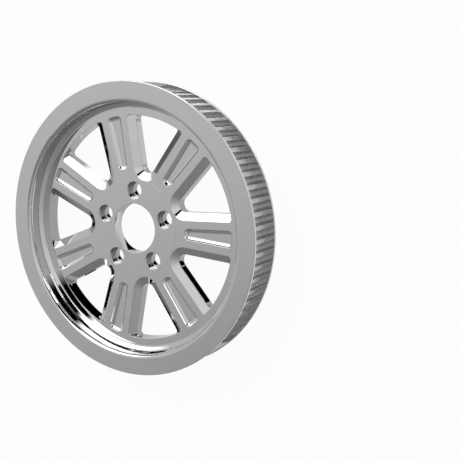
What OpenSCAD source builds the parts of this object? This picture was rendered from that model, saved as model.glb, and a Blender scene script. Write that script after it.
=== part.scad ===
// Rear belt pulley of a motorcycle, one piece of chromed billet, 68 teeth at 14 mm pitch.
// Millimetres. +Z is the wheel axis and points to the show face; the part lies on its rear rim.
// +X runs through the middle of one spoke and of one tooth, +Y through one bolt hole.

/* [Rim and flanges] */
// Radius of both flanges, the outside of the part
flange_radius = 158; // [150:0.5:175]
// Width over both flanges
overall_width = 45; // [38:0.5:60]
// Thickness of each flange
flange_thickness = 2.8; // [1.5:0.1:6]
// Rounding of the flange edges
flange_edge_radius = 0.8; // [0.2:0.1:1.2]
// Radius of the wall inside the front rim
front_wall_radius = 135.4; // [131:0.5:138]
// Rounding from the front rim face into that wall
front_lip_radius = 4.4; // [1:0.1:7]
// Radius of the wall inside the rear rim
rear_wall_radius = 135.5; // [128:0.5:138]
// Rounding from the rear rim face into that wall
rear_lip_radius = 2; // [0.5:0.1:6]

/* [Belt teeth] */
// Number of teeth
tooth_count = 68; // [60:1:72]
// Belt pitch
tooth_pitch = 14; // [13:0.5:14]
// Depth of the belt pitch line outside the tooth tips
pitch_line_offset = 1.4; // [0.8:0.1:2.5]
// Radius of the round groove between two teeth
groove_radius = 4.4; // [2.5:0.1:4.8]
// Depth of the groove under the tooth tips
groove_depth = 4.8; // [2.5:0.1:5.5]
// Rounding of the tooth tip edges
tip_edge_radius = 0.9; // [0.3:0.1:1.2]

/* [Web] */
// Depth of the web face below the front rim face
web_depth = 18.2; // [10:0.1:24]
// Thickness of the web
web_thickness = 13.8; // [8:0.1:18]
// Width of the sloping foot between the flat web and the front wall
foot_run = 5.4; // [4.5:0.1:6.5]
// Slope of that foot, in degrees
foot_slope = 35; // [25:1:45]
// Hollow round from the web into the foot
foot_radius = 3; // [1:0.1:4]
// Hollow round from the foot into the wall
root_radius = 1.5; // [0.5:0.1:2.5]
// Radius of the slightly raised hub pad
hub_pad_radius = 53.7; // [50:0.1:54]
// Height of the hub pad above the web face
hub_pad_height = 0.06; // [0.05:0.01:1]

/* [Spokes and windows] */
// Number of spokes
spoke_count = 7; // [5:1:7]
// Half width of a spoke, carried back to the wheel axis
spoke_half_width = 10.4; // [6:0.1:14]
// Angle by which each side of a spoke opens outwards
spoke_flare = 3.35; // [0:0.05:6]
// Radius of the outer end of the windows
window_outer_radius = 122.2; // [112:0.5:126]
// Radius of the rounded inner end of a window, on the web face
window_end_radius = 16.5; // [13:0.05:17]
// Rounding of the outer window corners
window_corner_radius = 4.2; // [1:0.1:6]
// Run of the bevel round a window, measured on the web face
bevel_run = 8.2; // [2:0.1:11]
// Depth of that bevel
bevel_depth = 4.3; // [1:0.1:8]

/* [Slots in the spokes] */
// Distance from the axis to the inner end of a slot
slot_inner_radius = 64.4; // [62:0.1:80]
// Distance from the axis to the outer end of a slot
slot_outer_radius = 122; // [100:0.5:122]
// Half width of a slot at its inner end
slot_inner_half_width = 5.9; // [5.8:0.1:7]
// Half width of a slot at its outer end
slot_outer_half_width = 8.8; // [6.5:0.1:9.5]
// Radius of the ball cutter that leaves the hollow walls and round corners of a slot
slot_cutter_radius = 5.3; // [3:0.1:6]
// Depth of a slot
slot_depth = 2.8; // [1:0.1:3.4]

/* [Hub] */
// Radius of the centre bore
bore_radius = 27; // [22:0.1:29]
// Chamfer of the bore at the rear
bore_chamfer = 1.5; // [0.5:0.1:2.5]
// Number of bolts
bolt_count = 5; // [5:1:5]
// Diameter of the bolt circle
bolt_circle_diameter = 82.55; // [80:0.05:84]
// Radius of the through holes for the bolts
bolt_hole_radius = 6.6; // [4:0.1:7.5]
// Radius of the counterbores for the bolt heads
counterbore_radius = 9.6; // [8.5:0.1:10.5]
// Depth of the counterbores
counterbore_depth = 6.3; // [2:0.1:9]

/* [Hidden] */
$fn = 96;
finish = [0.78, 0.79, 0.8];
over = 1;
pitch_radius = tooth_count * tooth_pitch / (2 * PI);
tip_radius = pitch_radius - pitch_line_offset;
groove_centre = tip_radius + groove_radius - groove_depth;
band_width = overall_width - 2 * flange_thickness;
web_front = overall_width - web_depth;
web_rear = web_front - web_thickness;
foot_start = front_wall_radius - foot_run;
foot_touch = [foot_start, web_front] + foot_radius * [sin(foot_slope), 1 - cos(foot_slope)];
root_x = front_wall_radius - root_radius;
root_z = foot_touch[1] + (root_radius + (root_x - foot_touch[0]) * sin(foot_slope)) / cos(foot_slope);
root_touch = [root_x, root_z] + root_radius * [sin(foot_slope), -cos(foot_slope)];
bolt_circle_radius = bolt_circle_diameter / 2;
counterbore_floor = web_front + hub_pad_height - counterbore_depth;
// Half of the angle between two spokes, and the slope of a window side against the window's middle line
window_half_angle = 180 / spoke_count;
side_angle = window_half_angle - spoke_flare;
// Distance of a window side from the wheel axis, and of the centre of the window's round end
side_offset = spoke_half_width * cos(spoke_flare);
end_centre = (side_offset + window_end_radius) / sin(side_angle);
// A round reaches this far past the walls that it joins, so that the surfaces cross instead of just touching
crossing = 0.03;
edge_centre = tip_radius - tip_edge_radius + crossing;
edge_reach = groove_radius + tip_edge_radius - crossing;
edge_turn = acos((groove_centre * groove_centre + edge_centre * edge_centre - edge_reach * edge_reach)
    / (2 * groove_centre * edge_centre));

// Section of the turned blank, right of the wheel axis
module rim_section() {
    difference() {
        translate([min(front_wall_radius, rear_wall_radius), 0])
            square([flange_radius - min(front_wall_radius, rear_wall_radius), overall_width]);
        // flange edges
        for (z = [0, overall_width - flange_thickness])
            translate([flange_radius, z])
                for (side = [0, 1])
                    translate([0, side * flange_thickness])
                        mirror([0, side])
                            corner(flange_edge_radius);
        // lips of the front and rear recess
        translate([front_wall_radius, overall_width])
            mirror([1, 0])
                mirror([0, 1])
                    corner(front_lip_radius);
        translate([rear_wall_radius, 0])
            mirror([1, 0])
                corner(rear_lip_radius);
        // the two recess walls
        translate([0, web_front])
            square([front_wall_radius, overall_width]);
        translate([0, -over])
            square([rear_wall_radius, web_rear + over]);
    }
}

// What a round of radius r takes off a square corner at the origin, the material being left of and above it
module corner(r) {
    difference() {
        translate([-r, -over])
            square([r + over, r + over]);
        translate([-r, r])
            circle(r, $fn = 20);
    }
}

// Web and the sloping foot of the front wall
module web_section() {
    outside = max(front_wall_radius, rear_wall_radius) + over;
    difference() {
        polygon([
            [bore_radius, web_rear],
            [outside, web_rear],
            [outside, root_z],
            [front_wall_radius, root_z],
            root_touch,
            foot_touch,
            [foot_start, web_front],
            [hub_pad_radius, web_front],
            [hub_pad_radius, web_front + hub_pad_height],
            [bore_radius, web_front + hub_pad_height]
        ]);
        // hollow rounds at both ends of the foot
        translate([foot_start, web_front + foot_radius])
            circle(foot_radius, $fn = 40);
        translate([root_x, root_z])
            circle(root_radius, $fn = 24);
        // rear chamfer of the bore
        translate([bore_radius, web_rear])
            rotate(45)
                square(bore_chamfer * sqrt(2), center = true);
    }
}

module blank() {
    rotate_extrude($fn = 180)
        union() {
            rim_section();
            web_section();
        }
}

// The grooves between the teeth, with rounded land edges
module groove_section() {
    translate([groove_centre, 0])
        circle(groove_radius, $fn = 32);
    for (side = [0, 1])
        mirror([0, side])
            difference() {
                polygon([
                    [groove_centre, 0],
                    edge_centre * [cos(edge_turn), sin(edge_turn)],
                    (tip_radius + over) * [cos(edge_turn), sin(edge_turn)],
                    [tip_radius + over, 0]
                ]);
                rotate(edge_turn)
                    translate([edge_centre, 0])
                        circle(tip_edge_radius, $fn = 20);
            }
}

// Everything between the two flanges that is not tooth or core
module belt_band() {
    translate([0, 0, flange_thickness])
        linear_extrude(band_width)
            difference() {
                circle(flange_radius + over, $fn = 180);
                difference() {
                    circle(tip_radius, $fn = 272);
                    for (i = [0 : tooth_count - 1])
                        rotate((i + 0.5) * 360 / tooth_count)
                            groove_section();
                }
            }
}

// Outline of a window whose middle line is +X, drawn in by inset
module window_outline(inset) {
    offset_now = side_offset + inset;
    // foot of the side line, and a point on it well outside
    foot = sqrt(pow(end_centre, 2) - pow(side_offset + window_end_radius, 2));
    far = 150;
    difference() {
        intersection() {
            union() {
                polygon([
                    on_side(foot, offset_now, 1),
                    on_side(far, offset_now, 1),
                    on_side(far, offset_now, -1),
                    on_side(foot, offset_now, -1)
                ]);
                translate([end_centre, 0])
                    circle(window_end_radius - inset + crossing);
            }
            circle(window_outer_radius, $fn = 180);
        }
        window_corners(inset);
    }
}

// What the two outer corner rounds of that outline leave standing
module window_corners(inset) {
    offset_now = side_offset + inset;
    // centre of the corner round, in the frame of the side line
    corner_y = offset_now + window_corner_radius;
    corner_x = sqrt(pow(window_outer_radius - window_corner_radius, 2) - pow(corner_y, 2));
    corner_turn = atan2(corner_y, corner_x);
    for (side = [-1, 1])
        difference() {
            polygon([
                on_side(corner_x, corner_y, side),
                on_side((window_outer_radius + over) * cos(corner_turn),
                    (window_outer_radius + over) * sin(corner_turn), side),
                on_side(corner_x + 3 * window_corner_radius, offset_now - 3 * over, side),
                on_side(corner_x, offset_now - 3 * over, side)
            ]);
            translate(on_side(corner_x, corner_y, side))
                circle(window_corner_radius + crossing, $fn = 48);
        }
}

// A point given along and across one side line of a window, turned to the window's own frame
function on_side(along, across, side) = [
    along * cos(side_angle) + across * sin(side_angle),
    side * (along * sin(side_angle) - across * cos(side_angle))
];

// Everything above the bevel plane of one window side
module above_bevel(side) {
    mirror([0, (1 - side) / 2, 0])
        rotate(side_angle)
            translate([0, -side_offset, web_front])
                rotate([atan2(bevel_depth, bevel_run), 0, 0])
                    translate([-50, -300, 0])
                        cube([300, 600, 100]);
}

// The sloping mouth of a window, cut past both ends so that every edge is a clean crossing
module window_bevel() {
    slope = bevel_run / bevel_depth;
    under = 0.8;
    intersection() {
        translate([0, 0, web_front - bevel_depth - under])
            linear_extrude(bevel_depth + under + over)
                difference() {
                    circle(window_outer_radius, $fn = 180);
                    window_corners(-0.3);
                }
        union() {
            translate([end_centre, 0, web_front - bevel_depth - under])
                cylinder(
                    h = bevel_depth + under + over,
                    r1 = window_end_radius - bevel_run - slope * under + crossing,
                    r2 = window_end_radius + slope * over + crossing
                );
            intersection() {
                above_bevel(1);
                above_bevel(-1);
                translate([0, 0, web_front - bevel_depth - under])
                    linear_extrude(bevel_depth + under + over)
                        polygon([
                            [end_centre, 0],
                            [end_centre - 40 * sin(side_angle), 40 * cos(side_angle)],
                            [150, 90],
                            [150, -90],
                            [end_centre - 40 * sin(side_angle), -40 * cos(side_angle)]
                        ]);
            }
        }
    }
}

module windows() {
    for (i = [0 : spoke_count - 1])
        rotate(window_half_angle + i * 360 / spoke_count) {
            translate([0, 0, web_rear - over])
                linear_extrude(web_thickness + 5 * over)
                    window_outline(bevel_run);
            window_bevel();
        }
}

// A slot along +X, milled with a ball cutter round its rim and flat between
module slot() {
    // how far the cutter's centre stays inside the rim, and its height
    inset = sqrt(pow(slot_cutter_radius, 2) - pow(slot_cutter_radius - slot_depth, 2));
    height = web_front - slot_depth + slot_cutter_radius;
    inner = [slot_inner_radius + inset, slot_inner_half_width - inset];
    outer = [slot_outer_radius - inset, slot_outer_half_width - inset];
    turns = [inner, outer, [outer[0], -outer[1]], [inner[0], -inner[1]]];
    for (i = [0 : 3]) {
        from = turns[i];
        run = turns[(i + 1) % 4] - from;
        translate([from[0], from[1], height]) {
            sphere(slot_cutter_radius + crossing, $fn = 48);
            rotate([0, 90, atan2(run[1], run[0])])
                cylinder(h = norm(run), r = slot_cutter_radius, $fn = 48);
        }
    }
    translate([0, 0, web_front - slot_depth + crossing / 2])
        linear_extrude(slot_depth + over)
            polygon(turns);
}

module slots() {
    for (i = [0 : spoke_count - 1])
        rotate(i * 360 / spoke_count)
            slot();
}

module bolt_holes() {
    for (i = [0 : bolt_count - 1])
        rotate(90 + i * 360 / bolt_count)
            translate([bolt_circle_radius, 0, 0]) {
                translate([0, 0, web_rear - over])
                    cylinder(h = web_thickness + 3 * over, r = bolt_hole_radius, $fn = 48);
                translate([0, 0, counterbore_floor])
                    cylinder(h = counterbore_depth + over, r = counterbore_radius, $fn = 64);
            }
}

module pulley() {
    color(finish)
        difference() {
            blank();
            belt_band();
            windows();
            slots();
            bolt_holes();
        }
}

pulley();
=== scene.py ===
"""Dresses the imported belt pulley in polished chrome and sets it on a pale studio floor."""

import math

import bpy
from bpy.props import FloatProperty, FloatVectorProperty, IntProperty, PointerProperty
from mathutils import Matrix, Vector

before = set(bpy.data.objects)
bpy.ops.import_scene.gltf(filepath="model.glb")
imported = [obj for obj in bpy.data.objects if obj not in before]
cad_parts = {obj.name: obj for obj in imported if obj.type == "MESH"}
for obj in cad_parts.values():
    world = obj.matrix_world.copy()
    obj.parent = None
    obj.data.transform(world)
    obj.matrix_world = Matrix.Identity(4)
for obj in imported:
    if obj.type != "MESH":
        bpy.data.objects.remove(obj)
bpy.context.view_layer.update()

bl_info = {
    "name": "Chrome belt pulley",
    "version": (1, 0, 0),
    "blender": (4, 5, 0),
    "location": "View3D > Sidebar > Pulley",
    "description": "Chrome finish, studio and camera for a toothed rear belt pulley",
    "category": "Object",
}

PULLEY_NODE = "pulley"
SENSOR_WIDTH_MM = 36.0

FLOAT = "NodeSocketFloat"
VECTOR = "NodeSocketVector"
BLACK = (0.0, 0.0, 0.0, 1.0)
WHITE = (1.0, 1.0, 1.0, 1.0)

# Room that one node takes in the node editor.
NODE_WIDTH = 240
NODE_HEIGHT = 260

# Noise of the polish, with scales per metre: drifting blur and tint, the slow wave, and its grain.
CLOUD = {"Scale": 38.0, "Detail": 5.0, "Roughness": 0.6}
WAVE = {"Scale": 55.0, "Detail": 1.0}
GRAIN = {"Scale": 2600.0, "Detail": 2.0}

# Height of the grain as a share of the wave's, and how far the tint of the plate drifts.
GRAIN_SHARE = 0.06
TINT_DRIFT = 0.06

# Rays that work out the rounding of the edges at each point.
EDGE_SAMPLES = 16

# Radii in metres between which the belt teeth lie, and within which the windows and holes lie.
TEETH_FROM = 0.1435
TEETH_TO = 0.1515
WINDOW_REACH = 0.124

# Widths in metres over which their painted shade and duller finish fade, and the narrower one past
# the teeth's tips.
FADE_WIDTH = 0.002
TIP_FADE_WIDTH = 0.001

# Length of a face's normal along Z: over the first it is no wall, under the second fully one.
WALL_FACING = (0.45, 0.15)

# The floor is matt.
FLOOR_ROUGHNESS = 0.9

# Tone of the studio walls as the chrome mirrors them, by compass angle in degrees from the spoke
# on +X. The ramp starts and ends at the seam, where the wall is plain.
WALL_SEAM = -60.0
WALL_TONES = (
    (-60.0, 0.252),
    (-30.0, 0.35),
    (0.0, 0.462),
    (30.0, 0.533),
    (55.0, 0.61),
    (90.0, 0.56),
    (150.0, 0.50),
    (178.0, 0.455),
    (197.0, 0.39),
    (215.0, 0.30),
    (235.0, 0.172),
    (262.0, 0.158),
    (280.0, 0.188),
    (300.0, 0.252),
)

# Sine of the height angle from which the studio walls have their full tone.
WALL_TOP = 0.75

# Panels round the object: name, compass angles, height angles, share of the softbox's brightness,
# and the angles over which the first and the last upright edge fade. All angles are in degrees.
PANELS = (
    ("black_flag_high", (38.0, 99.0), (26.0, 62.5), 0.0, (14.0, 9.0)),
    ("black_flag_side", (62.0, 90.0), (14.0, 26.0), 0.0, (0.0, 0.0)),
    ("black_flag_low", (78.0, 148.0), (0.5, 14.0), 0.0, (0.0, 0.0)),
    ("softbox", (88.0, 153.0), (20.0, 68.0), 1.0, (0.0, 14.0)),
    ("softbox_small", (36.0, 57.0), (6.0, 22.0), 1.0, (0.0, 0.0)),
)

# Squares along each side of a panel.
PANEL_STEPS = 24

# The softboxes stand this much farther out than the black flags, which pass in front of them.
SOFTBOX_SETBACK = 1.02

# Corner attribute that says how dense a panel or card is there.
COVER = "cover"

# Height of the cards over the floor in metres.
CARD_HEIGHT = 0.0015

# Painted reflections: these dark and bright cards are hidden from the camera, light nothing and
# cast no shadow.
# Cards that only the chrome mirrors: name, brightness, where 1 is white, and outline in metres.
CARDS = (
    (
        "spoke_card",
        0.0,
        ((0.0655, -0.0237), (0.0618, -0.0292), (0.0935, -0.0645), (0.0975, -0.0592)),
    ),
    (
        "bore_card",
        0.0,
        ((-0.0198, -0.0085), (-0.0145, -0.0185), (-0.0105, -0.0068), (-0.016, -0.0068)),
    ),
    (
        "bore_light_card",
        1.7,
        ((-0.02, -0.006), (-0.0055, -0.006), (-0.0055, 0.0035), (-0.02, 0.0035)),
    ),
    (
        "bore_grey_card",
        0.3,
        ((-0.0285, 0.0245), (-0.0145, 0.0245), (-0.0145, 0.0), (-0.029, 0.0)),
    ),
    (
        "pale_card",
        4.0,
        ((-0.0528, 0.0573), (-0.0559, 0.0651), (-0.068, 0.0719), (-0.0655, 0.0643)),
    ),
    (
        "pale_card_end",
        4.0,
        ((-0.0655, 0.0643), (-0.068, 0.0719), (-0.0845, 0.0812), (-0.0815, 0.0732)),
    ),
    (
        "light_card",
        1.5,
        ((0.0149, 0.1188), (0.0076, 0.1168), (0.0154, 0.0704), (0.0228, 0.0717)),
    ),
)

# Cards that fade out towards their last two corners.
FADING_CARDS = ("pale_card_end", "bore_grey_card", "bore_light_card")

# The black rim card, a painted dark reflection, is part of a ring: radius of its outer and its
# inner edge in metres, and the compass angles of the corners along each in degrees.
RIM_CARD_EDGES = ((0.116, range(213, 247, 3)), (0.097, range(243, 210, -3)))

# The bolt holes: their number, the radius of their circle in metres, and the compass angle of the
# first in degrees.
BOLT_COUNT = 5
BOLT_CIRCLE_RADIUS = 0.041275
FIRST_BOLT = 90.0

# A black card, a painted dark reflection, lies under each bolt hole: its corners from the hole's
# middle, in metres.
BOLT_CARD = ((-0.008, 0.0015), (0.003, 0.0015), (0.003, 0.0085), (-0.008, 0.0085))


# Places


def around(radius, turn):
    """The place at that radius and compass angle, which is in radians."""
    return radius * math.cos(turn), radius * math.sin(turn)


def all_cards():
    """Name, brightness and outline of each card, those at the rim and the bolt holes included."""
    rim = [
        around(radius, math.radians(turn))
        for radius, turns in RIM_CARD_EDGES
        for turn in turns
    ]
    yield "rim_card", 0.0, rim
    yield from CARDS
    for index in range(BOLT_COUNT):
        turn = math.radians(FIRST_BOLT + 360.0 * index / BOLT_COUNT)
        x, y = Matrix.Rotation(turn, 2) @ Vector((BOLT_CIRCLE_RADIUS, 0.0))
        yield f"bolt_card_{index + 1}", 0.0, [(x + across, y + up) for across, up in BOLT_CARD]


# Node helpers


def feed(tree, source, target):
    """Links an output to an input, or writes a plain value into the input."""
    if isinstance(source, bpy.types.NodeSocket):
        tree.links.new(source, target)
    else:
        target.default_value = source


def feed_inputs(tree, node, inputs):
    """Feeds a node's inputs by name."""
    for name, source in inputs.items():
        feed(tree, source, node.inputs[name])


def add_node(tree, kind, inputs=None, **settings):
    """A node of that kind, with its own properties set by name and its inputs fed by name."""
    made = tree.nodes.new(kind)
    for name, value in settings.items():
        setattr(made, name, value)
    feed_inputs(tree, made, inputs or {})
    return made


def maths(tree, operation, *values, clamp=False):
    """Output of a Math node over sockets or numbers."""
    made = add_node(tree, "ShaderNodeMath", operation=operation, use_clamp=clamp)
    for socket, value in zip(made.inputs, values):
        feed(tree, value, socket)
    return made.outputs[0]


def smooth_step(tree, value, start, end, low=0.0, high=1.0):
    """Goes softly from low where the value is at start to high where it is at end."""
    if end < start:
        start, end, low, high = end, start, high, low
    made = add_node(
        tree,
        "ShaderNodeMapRange",
        {"Value": value, "From Min": start, "From Max": end, "To Min": low, "To Max": high},
        interpolation_type="SMOOTHSTEP",
    )
    return made.outputs["Result"]


def noise(tree, position, texture):
    """Value of a Noise Texture over the position."""
    made = add_node(tree, "ShaderNodeTexNoise", {"Vector": position, **texture})
    return made.outputs["Fac"]


def lay_out(tree):
    """Sets the nodes in columns, each one to the left of all that it feeds."""
    column = {node.name: 0 for node in tree.nodes}
    # As many passes as there are nodes settle the longest chain.
    for _ in range(len(column)):
        for link in tree.links:
            further = column[link.to_node.name] + 1
            column[link.from_node.name] = max(column[link.from_node.name], further)
    rows = dict.fromkeys(column.values(), 0)
    for node in tree.nodes:
        place = column[node.name]
        node.location = (-NODE_WIDTH * place, -NODE_HEIGHT * rows[place])
        rows[place] += 1


def new_group(name, inputs, outputs):
    """A shader node group with its named sockets, and its two end nodes."""
    group = bpy.data.node_groups.new(name, "ShaderNodeTree")
    for way, sockets in (("INPUT", inputs), ("OUTPUT", outputs)):
        for label, kind in sockets.items():
            group.interface.new_socket(name=label, in_out=way, socket_type=kind)
    start = add_node(group, "NodeGroupInput")
    end = add_node(group, "NodeGroupOutput")
    return group, start, end


# Shared effects


def polish_group():
    """Uneven polish: drifting roughness and tint, and a slow wave in the plate with its grain."""
    group, start, end = new_group(
        "Polish",
        {"Position": VECTOR, "Gloss": FLOAT, "Unevenness": FLOAT},
        {"Roughness": FLOAT, "Height": FLOAT, "Tint": FLOAT},
    )
    place = start.outputs["Position"]
    cloud = noise(group, place, CLOUD)
    wave = noise(group, place, WAVE)
    grain = noise(group, place, GRAIN)
    drift = maths(group, "SUBTRACT", cloud, 0.5)
    spread = maths(group, "MULTIPLY", drift, start.outputs["Unevenness"])
    rough = maths(group, "ADD", start.outputs["Gloss"], spread, clamp=True)
    fine = maths(group, "MULTIPLY", grain, GRAIN_SHARE)
    height = maths(group, "ADD", wave, fine)
    tint = maths(group, "MULTIPLY_ADD", drift, TINT_DRIFT, 1.0)
    feed_inputs(group, end, {"Roughness": rough, "Height": height, "Tint": tint})
    lay_out(group)
    return group


def recess_shade_group():
    """Walls that get painted shade and a duller finish: in the windows and holes, and on the belt
    teeth.
    """
    group, start, end = new_group(
        "Painted recess shade and dullness",
        {"Position": VECTOR, "Facing": VECTOR},
        {"Inner walls": FLOAT, "Teeth": FLOAT},
    )
    place = add_node(group, "ShaderNodeSeparateXYZ", {"Vector": start.outputs["Position"]})
    facing = add_node(group, "ShaderNodeSeparateXYZ", {"Vector": start.outputs["Facing"]})
    across = maths(group, "MULTIPLY", place.outputs["X"], place.outputs["X"])
    across = maths(group, "MULTIPLY_ADD", place.outputs["Y"], place.outputs["Y"], across)
    radius = maths(group, "SQRT", across)
    wall = smooth_step(group, maths(group, "ABSOLUTE", facing.outputs["Z"]), *WALL_FACING)
    inside = smooth_step(group, radius, WINDOW_REACH + FADE_WIDTH, WINDOW_REACH)
    from_root = smooth_step(group, radius, TEETH_FROM - FADE_WIDTH, TEETH_FROM)
    to_tip = smooth_step(group, radius, TEETH_TO + TIP_FADE_WIDTH, TEETH_TO)
    band = maths(group, "MULTIPLY", from_root, to_tip)
    inner_walls = maths(group, "MULTIPLY", wall, inside)
    teeth = maths(group, "MULTIPLY", wall, band)
    feed_inputs(group, end, {"Inner walls": inner_walls, "Teeth": teeth})
    lay_out(group)
    return group


# What a user would change


class PulleyFinish(bpy.types.PropertyGroup):
    """Look of the chrome."""

    colour: FloatVectorProperty(
        name="Chrome colour",
        description="Mirror colour of the plate",
        default=(0.615, 0.618, 0.62),
        subtype="COLOR",
        min=0.0,
        max=1.0,
    )
    gloss: FloatProperty(
        name="Roughness",
        description="Blur of the mirror image",
        default=0.035,
        min=0.0,
        max=1.0,
    )
    unevenness: FloatProperty(
        name="Unevenness",
        description="How far the roughness drifts over the surface",
        default=0.05,
        min=0.0,
        max=0.5,
    )
    # Painted shade on the walls of the windows and holes: a darker chrome colour there.
    wall_painted_shade: FloatProperty(
        name="Inner wall shade",
        description="Share of the mirror colour left on the unpolished walls of windows and holes",
        default=0.54,
        min=0.0,
        max=1.0,
        subtype="FACTOR",
    )
    # Painted shade on the belt teeth: a darker chrome colour there.
    teeth_painted_shade: FloatProperty(
        name="Teeth shade",
        description="Share of the mirror colour left on the unpolished belt teeth",
        default=0.84,
        min=0.0,
        max=1.0,
        subtype="FACTOR",
    )
    wall_gloss: FloatProperty(
        name="Inner wall roughness",
        description="Roughness that the unpolished walls of windows and holes have on top",
        default=0.03,
        min=0.0,
        max=1.0,
    )
    teeth_gloss: FloatProperty(
        name="Teeth roughness",
        description="Roughness that the unpolished belt teeth have on top",
        default=0.4,
        min=0.0,
        max=1.0,
    )
    edge_round: FloatProperty(
        name="Edge round",
        description="Radius that the polish leaves on every edge",
        default=0.0007,
        min=0.0,
        max=0.003,
        subtype="DISTANCE",
        unit="LENGTH",
    )
    ripple: FloatProperty(
        name="Ripple",
        description="Height of the slow wave in the plate",
        default=0.0000025,
        min=0.0,
        max=0.001,
        precision=6,
        subtype="DISTANCE",
        unit="LENGTH",
    )


class PulleyStudio(bpy.types.PropertyGroup):
    """Floor, light and background."""

    floor_colour: FloatVectorProperty(
        name="Floor colour",
        description="Plain pale floor",
        default=(0.9, 0.9, 0.9),
        subtype="COLOR",
        min=0.0,
        max=1.0,
    )
    floor_radius: FloatProperty(
        name="Floor radius",
        description="Size of the floor",
        default=6.0,
        min=1.0,
        max=50.0,
        subtype="DISTANCE",
        unit="LENGTH",
    )
    floor_corners: IntProperty(
        name="Floor corners",
        description="Number of corners of the floor's outline",
        default=96,
        min=12,
        max=512,
    )
    floor_lift: FloatProperty(
        name="Background white",
        description="Share of plain white in what the camera and the chrome see of the floor",
        default=0.94,
        min=0.0,
        max=1.0,
        subtype="FACTOR",
    )
    softbox_strength: FloatProperty(
        name="Softbox",
        description="Brightness of the softboxes, where 1 is white",
        default=3.2,
        min=0.0,
        max=50.0,
    )
    wall_foot: FloatProperty(
        name="Wall foot",
        description="Brightness of the studio walls at floor level, against their upper part",
        default=0.82,
        min=0.0,
        max=1.0,
        subtype="FACTOR",
    )
    panel_distance: FloatProperty(
        name="Panel distance",
        description="Distance of the softboxes and black flags from the object",
        default=5.5,
        min=1.0,
        max=50.0,
        subtype="DISTANCE",
        unit="LENGTH",
    )
    reflectance: FloatProperty(
        name="Mirror share",
        description="Share of light that the chrome gives back, by which the wall tones are raised",
        default=0.62,
        min=0.05,
        max=1.0,
    )


class PulleyCamera(bpy.types.PropertyGroup):
    """Where the photograph was taken from."""

    location: FloatVectorProperty(
        name="Location",
        description="Camera position",
        default=(0.5043, 0.1500, 0.7013),
        subtype="TRANSLATION",
        unit="LENGTH",
    )
    forward: FloatVectorProperty(
        name="Forward",
        description="Direction of view",
        default=(-0.49065, -0.14788, -0.85871),
        subtype="DIRECTION",
    )
    upward: FloatVectorProperty(
        name="Upward",
        description="Direction that is up in the picture",
        default=(-0.08509, 0.98891, -0.12168),
        subtype="DIRECTION",
    )
    lens: FloatProperty(
        name="Focal length",
        description="Focal length for a 36 mm wide frame, in millimetres",
        default=61.29,
        min=10.0,
        max=300.0,
    )
    shift_y: FloatProperty(
        name="Vertical shift",
        description="Vertical shift of the frame",
        default=-0.0509,
        min=-0.5,
        max=0.5,
    )


# Materials


def new_material(name, inputs):
    """A material with its node tree, and its Principled shader with those inputs."""
    material = bpy.data.materials.new(name)
    material.use_nodes = True
    tree = material.node_tree
    shader = tree.nodes["Principled BSDF"]
    feed_inputs(tree, shader, inputs)
    return material, tree, shader


def chrome_material(finish):
    """Polished chrome plate with rounded edges; the walls of the windows, holes and belt teeth are
    rougher and have painted shade.
    """
    material, tree, shader = new_material("polished_chrome", {"Metallic": 1.0})
    place = add_node(tree, "ShaderNodeTexCoord")
    polish = add_node(
        tree,
        "ShaderNodeGroup",
        {
            "Position": place.outputs["Object"],
            "Gloss": finish.gloss,
            "Unevenness": finish.unevenness,
        },
        node_tree=polish_group(),
    )
    recess_mask = add_node(
        tree,
        "ShaderNodeGroup",
        {"Position": place.outputs["Object"], "Facing": place.outputs["Normal"]},
        node_tree=recess_shade_group(),
    )
    shade = polish.outputs["Tint"]
    rough = polish.outputs["Roughness"]
    # Painted shade: these walls keep only their share of the chrome colour, and they are also
    # rougher.
    painted_shade_dull = (
        ("Inner walls", finish.wall_painted_shade, finish.wall_gloss),
        ("Teeth", finish.teeth_painted_shade, finish.teeth_gloss),
    )
    for output, left, dull in painted_shade_dull:
        painted_darkening = maths(tree, "MULTIPLY_ADD", recess_mask.outputs[output], left - 1.0, 1.0)
        shade = maths(tree, "MULTIPLY", shade, painted_darkening)
        rough = maths(tree, "MULTIPLY_ADD", recess_mask.outputs[output], dull, rough)
    colour = add_node(
        tree,
        "ShaderNodeMix",
        {"Factor": 1.0, "A": (*finish.colour, 1.0), "B": shade},
        data_type="RGBA",
        blend_type="MULTIPLY",
    )
    edge = add_node(tree, "ShaderNodeBevel", {"Radius": finish.edge_round}, samples=EDGE_SAMPLES)
    bump = add_node(
        tree,
        "ShaderNodeBump",
        {
            "Strength": 1.0,
            "Distance": finish.ripple,
            "Height": polish.outputs["Height"],
            "Normal": edge.outputs["Normal"],
        },
    )
    feed_inputs(
        tree,
        shader,
        {
            "Base Color": colour.outputs["Result"],
            "Roughness": rough,
            "Normal": bump.outputs["Normal"],
        },
    )
    lay_out(tree)
    return material


def floor_material(studio):
    """Pale matt floor that reads as plain white background and keeps a soft shadow."""
    material, tree, shader = new_material(
        "studio_floor",
        {
            "Base Color": (*studio.floor_colour, 1.0),
            "Roughness": FLOOR_ROUGHNESS,
            "Specular IOR Level": 0.0,
        },
    )
    white = add_node(tree, "ShaderNodeEmission", {"Color": WHITE, "Strength": 1.0})
    path = add_node(tree, "ShaderNodeLightPath")
    seen = maths(tree, "ADD", path.outputs["Is Camera Ray"], path.outputs["Is Glossy Ray"])
    seen = maths(tree, "ADD", seen, path.outputs["Is Transmission Ray"], clamp=True)
    share = maths(tree, "MULTIPLY", seen, studio.floor_lift)
    mix = add_node(tree, "ShaderNodeMixShader")
    for source, socket in zip((share, shader.outputs[0], white.outputs[0]), mix.inputs):
        feed(tree, source, socket)
    feed_inputs(tree, tree.nodes["Material Output"], {"Surface": mix.outputs[0]})
    lay_out(tree)
    return material


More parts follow.
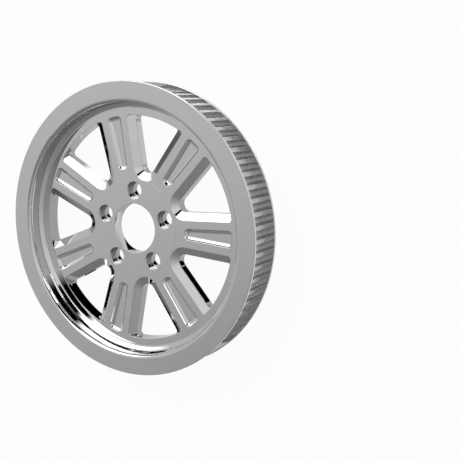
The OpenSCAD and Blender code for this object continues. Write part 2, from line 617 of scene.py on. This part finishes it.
def panel_material(name, level):
    """Plain glow of a softbox or of a card, or black where the level is nought (the cloth of a
    flag, or a card's painted dark reflection), as dense as its cover.
    """
    material, tree, shader = new_material(
        name,
        {
            "Base Color": BLACK,
            "Specular IOR Level": 0.0,
            "Emission Color": WHITE,
            "Emission Strength": level,
        },
    )
    cover = add_node(tree, "ShaderNodeAttribute", attribute_name=COVER)
    feed_inputs(tree, shader, {"Alpha": cover.outputs["Fac"]})
    lay_out(tree)
    return material


def studio_world(studio):
    """Plain grey studio walls, palest at the picture's upper right and darker near the floor."""
    world = bpy.data.worlds.new("studio")
    world.use_nodes = True
    tree = world.node_tree
    tree.nodes.clear()
    place = add_node(tree, "ShaderNodeTexCoord")
    # The turn brings the seam to where the arctangent jumps from plus to minus 180 degrees.
    turned = add_node(
        tree,
        "ShaderNodeVectorRotate",
        {"Vector": place.outputs["Generated"], "Angle": math.radians(180.0 - WALL_SEAM)},
        rotation_type="Z_AXIS",
    )
    parts = add_node(tree, "ShaderNodeSeparateXYZ", {"Vector": turned.outputs[0]})
    turn = maths(tree, "ARCTAN2", parts.outputs["Y"], parts.outputs["X"])
    share = maths(tree, "MULTIPLY_ADD", turn, 1.0 / math.tau, 0.5)
    ramp = add_node(tree, "ShaderNodeValToRGB", {"Fac": share})
    ramp.color_ramp.interpolation = "B_SPLINE"
    points = ramp.color_ramp.elements
    # A new ramp has two points: one goes, and the other takes the first tone.
    points.remove(points[-1])
    for index, (angle, tone) in enumerate(WALL_TONES):
        position = (angle - WALL_SEAM) / 360.0
        point = points.new(position) if index else points[0]
        point.position = position
        level = tone / studio.reflectance
        point.color = (level, level, level, 1.0)
    shade = smooth_step(tree, parts.outputs["Z"], 0.0, WALL_TOP, studio.wall_foot, 1.0)
    background = add_node(
        tree, "ShaderNodeBackground", {"Color": ramp.outputs["Color"], "Strength": shade}
    )
    add_node(tree, "ShaderNodeOutputWorld", {"Surface": background.outputs[0]})
    lay_out(tree)
    return world


# Meshes of the stage


def floor_mesh(studio):
    """A flat round floor."""
    count = studio.floor_corners
    turns = [math.tau * k / count for k in range(count)]
    corners = [(*around(studio.floor_radius, turn), 0.0) for turn in turns]
    mesh = bpy.data.meshes.new("studio_floor")
    mesh.from_pydata(corners, [], [tuple(range(count))])
    return mesh


def cover_mesh(name, corners, faces, cover):
    """A mesh that holds at each corner how dense it is."""
    mesh = bpy.data.meshes.new(name)
    mesh.from_pydata(corners, [], faces)
    mesh.attributes.new(COVER, "FLOAT", "POINT").data.foreach_set("value", cover)
    return mesh


def panel_mesh(compass, rise, distance, fade):
    """A patch of a sphere round the object, between two compass angles and two height angles.

    It thins out over the fade angles at its first and last upright edge. All are in degrees.
    """
    span = compass[1] - compass[0]
    corners = []
    cover = []
    for up in range(PANEL_STEPS + 1):
        height = math.radians(rise[0] + (rise[1] - rise[0]) * up / PANEL_STEPS)
        for across in range(PANEL_STEPS + 1):
            turn = span * across / PANEL_STEPS
            x, y = around(distance * math.cos(height), math.radians(compass[0] + turn))
            corners.append((x, y, distance * math.sin(height)))
            first = turn / fade[0] if fade[0] else 1.0
            last = (span - turn) / fade[1] if fade[1] else 1.0
            cover.append(min(1.0, first, last))
    row = PANEL_STEPS + 1
    faces = [
        (k, k + 1, k + 1 + row, k + row)
        for k in range(row * PANEL_STEPS)
        if k % row < PANEL_STEPS
    ]
    return cover_mesh("panel", corners, faces, cover)


def card_mesh(outline, fading):
    """A flat card just over the floor. A fading one is clear at its last two corners."""
    corners = [(x, y, CARD_HEIGHT) for x, y in outline]
    cover = [1.0] * (len(corners) - 2) + [0.0 if fading else 1.0] * 2
    return cover_mesh("card", corners, [tuple(range(len(corners)))], cover)


def add_object(context, name, mesh, material):
    """Puts an object with that mesh and material into the scene."""
    mesh.materials.append(material)
    made = bpy.data.objects.new(name, mesh)
    context.scene.collection.objects.link(made)
    return made


# Operators


class PULLEY_OT_finish(bpy.types.Operator):
    """Plates the pulley in polished chrome"""

    bl_idname = "pulley.finish"
    bl_label = "Chrome the pulley"

    def execute(self, context):
        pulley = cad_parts[PULLEY_NODE]
        material = chrome_material(context.scene.pulley_finish)
        for slot in pulley.material_slots:
            slot.material = material
        return {"FINISHED"}


class PULLEY_OT_stage(bpy.types.Operator):
    """Lays the floor and lights the studio"""

    bl_idname = "pulley.stage"
    bl_label = "Set the stage"

    def execute(self, context):
        studio = context.scene.pulley_studio
        floor = add_object(context, "studio_floor", floor_mesh(studio), floor_material(studio))
        for name, compass, rise, share, fade in PANELS:
            distance = studio.panel_distance * (SOFTBOX_SETBACK if share else 1.0)
            mesh = panel_mesh(compass, rise, distance, fade)
            glow = panel_material(name, share * studio.softbox_strength)
            panel = add_object(context, name, mesh, glow)
            panel.visible_camera = False
        # The cards are painted reflections: the camera doesn't see them, they light nothing and
        # cast no shadow.
        for name, level, outline in all_cards():
            mesh = card_mesh(outline, name in FADING_CARDS)
            card = add_object(context, name, mesh, panel_material(name, level))
            card.visible_camera = False
            card.visible_diffuse = False
            card.visible_shadow = False
        context.scene.world = studio_world(studio)
        context.scene.view_settings.view_transform = "Standard"
        return {"FINISHED"}


class PULLEY_OT_camera(bpy.types.Operator):
    """Puts the camera where the photograph was taken from"""

    bl_idname = "pulley.camera"
    bl_label = "Place the camera"

    def execute(self, context):
        wanted = context.scene.pulley_camera
        data = bpy.data.cameras.new("photo_camera")
        data.sensor_width = SENSOR_WIDTH_MM
        data.lens = wanted.lens
        data.shift_y = wanted.shift_y
        camera = bpy.data.objects.new("photo_camera", data)
        forward = Vector(wanted.forward).normalized()
        right = forward.cross(Vector(wanted.upward)).normalized()
        upward = right.cross(forward)
        turn = Matrix((right, upward, -forward)).transposed()
        camera.matrix_world = Matrix.Translation(wanted.location) @ turn.to_4x4()
        context.scene.collection.objects.link(camera)
        context.scene.camera = camera
        return {"FINISHED"}


class PULLEY_PT_panel(bpy.types.Panel):
    """Sizes, colours and steps of the chrome pulley"""

    bl_idname = "PULLEY_PT_panel"
    bl_label = "Chrome pulley"
    bl_space_type = "VIEW_3D"
    bl_region_type = "UI"
    bl_category = "Pulley"

    def draw(self, context):
        for name, step in (
            ("pulley_finish", "pulley.finish"),
            ("pulley_studio", "pulley.stage"),
            ("pulley_camera", "pulley.camera"),
        ):
            group = getattr(context.scene, name)
            box = self.layout.box()
            for key in group.__annotations__:
                box.prop(group, key)
            box.operator(step)


# Registration


GROUPS = {
    "pulley_finish": PulleyFinish,
    "pulley_studio": PulleyStudio,
    "pulley_camera": PulleyCamera,
}
CLASSES = (
    *GROUPS.values(),
    PULLEY_OT_finish,
    PULLEY_OT_stage,
    PULLEY_OT_camera,
    PULLEY_PT_panel,
)


def register():
    for part in CLASSES:
        bpy.utils.register_class(part)
    for name, group in GROUPS.items():
        setattr(bpy.types.Scene, name, PointerProperty(type=group))


def unregister():
    for name in GROUPS:
        delattr(bpy.types.Scene, name)
    for part in reversed(CLASSES):
        bpy.utils.unregister_class(part)


def main():
    """Builds the whole scene."""
    register()
    bpy.ops.pulley.finish()
    bpy.ops.pulley.stage()
    bpy.ops.pulley.camera()
    bpy.context.view_layer.update()


if __name__ == "__main__":
    main()
